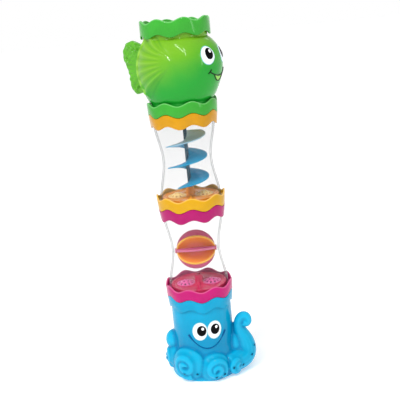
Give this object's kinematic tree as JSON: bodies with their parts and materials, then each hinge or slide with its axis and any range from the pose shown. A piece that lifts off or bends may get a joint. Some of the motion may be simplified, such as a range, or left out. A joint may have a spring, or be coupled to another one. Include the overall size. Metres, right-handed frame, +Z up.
{
  "type": "stacking bath and sand toy tower",
  "caption": "Stacking water and sand toy: octopus cup, clear tube with paddle wheel, clear tube with screw, and fish cup on top.",
  "frame": {"origin": "middle of the octopus's flat underside, on the surface that the tower stands on", "axes": "+Z up along the tower; -Y towards the front, where the octopus's face is; +X to the right of the face as seen from the front"},
  "size_m": [0.1051, 0.0825, 0.3506],
  "materials": {
    "green_plastic": "glossy moulded",
    "orange_plastic": "glossy moulded",
    "yellow_plastic": "glossy moulded",
    "magenta_plastic": "glossy moulded",
    "pink_plastic": "glossy moulded",
    "blue_plastic": "glossy moulded",
    "screw_blue_plastic": "glossy moulded",
    "paddle_pink_plastic": "glossy moulded",
    "paddle_orange_plastic": "glossy moulded",
    "clear_plastic": "glossy moulded",
    "eye_white_plastic": "glossy moulded"
  },
  "bodies": {
    "octopus": {"octopus_collar": "blue_plastic", "octopus_head": "blue_plastic", "octopus_floor": "blue_plastic", "octopus_tentacles": "blue_plastic", "octopus_right_eye": "eye_white_plastic", "octopus_left_eye": "eye_white_plastic"},
    "wheel_tube": {"wheel_tube": "clear_plastic", "wheel_tube_skirt": "pink_plastic", "wheel_tube_sieve": "pink_plastic", "wheel_tube_collar": "magenta_plastic", "left_bearing_cup": "clear_plastic", "right_bearing_cup": "clear_plastic"},
    "paddle_wheel": {"paddle_rotor": "paddle_pink_plastic", "orange_paddle_1": "paddle_orange_plastic", "orange_paddle_2": "paddle_orange_plastic", "orange_paddle_3": "paddle_orange_plastic", "orange_paddle_4": "paddle_orange_plastic", "wheel_axle": "paddle_pink_plastic"},
    "screw_tube": {"screw_tube": "clear_plastic", "screw_tube_skirt": "yellow_plastic", "screw_tube_sieve": "yellow_plastic", "screw_tube_collar": "orange_plastic", "bearing_spider": "orange_plastic"},
    "water_screw": {"water_screw": "screw_blue_plastic"},
    "fish": {"fish_rim": "green_plastic", "fish_right_shell": "green_plastic", "fish_left_shell": "green_plastic", "fish_tail": "green_plastic", "fish_skirt": "green_plastic", "fish_sieve": "green_plastic", "fish_right_eye": "eye_white_plastic", "fish_left_eye": "eye_white_plastic"}
  },
  "joints": [
    {"name": "wheel_tube_lift", "type": "slide", "parent": "octopus", "child": "wheel_tube", "axis": [0, 0, 1], "range_m": [0, 0.03]},
    {"name": "screw_tube_lift", "type": "slide", "parent": "wheel_tube", "child": "screw_tube", "axis": [0, 0, 1], "range_m": [0, 0.03]},
    {"name": "fish_lift", "type": "slide", "parent": "screw_tube", "child": "fish", "axis": [0, 0, 1], "range_m": [0, 0.03]},
    {"name": "paddle_wheel_spin", "type": "hinge", "parent": "wheel_tube", "child": "paddle_wheel", "pos_m": [0, 0, 0.1266], "axis": [1, 0, 0], "continuous": true},
    {"name": "water_screw_spin", "type": "hinge", "parent": "screw_tube", "child": "water_screw", "pos_m": [0, 0, 0.22], "axis": [0, 0, 1], "continuous": true}
  ]
}
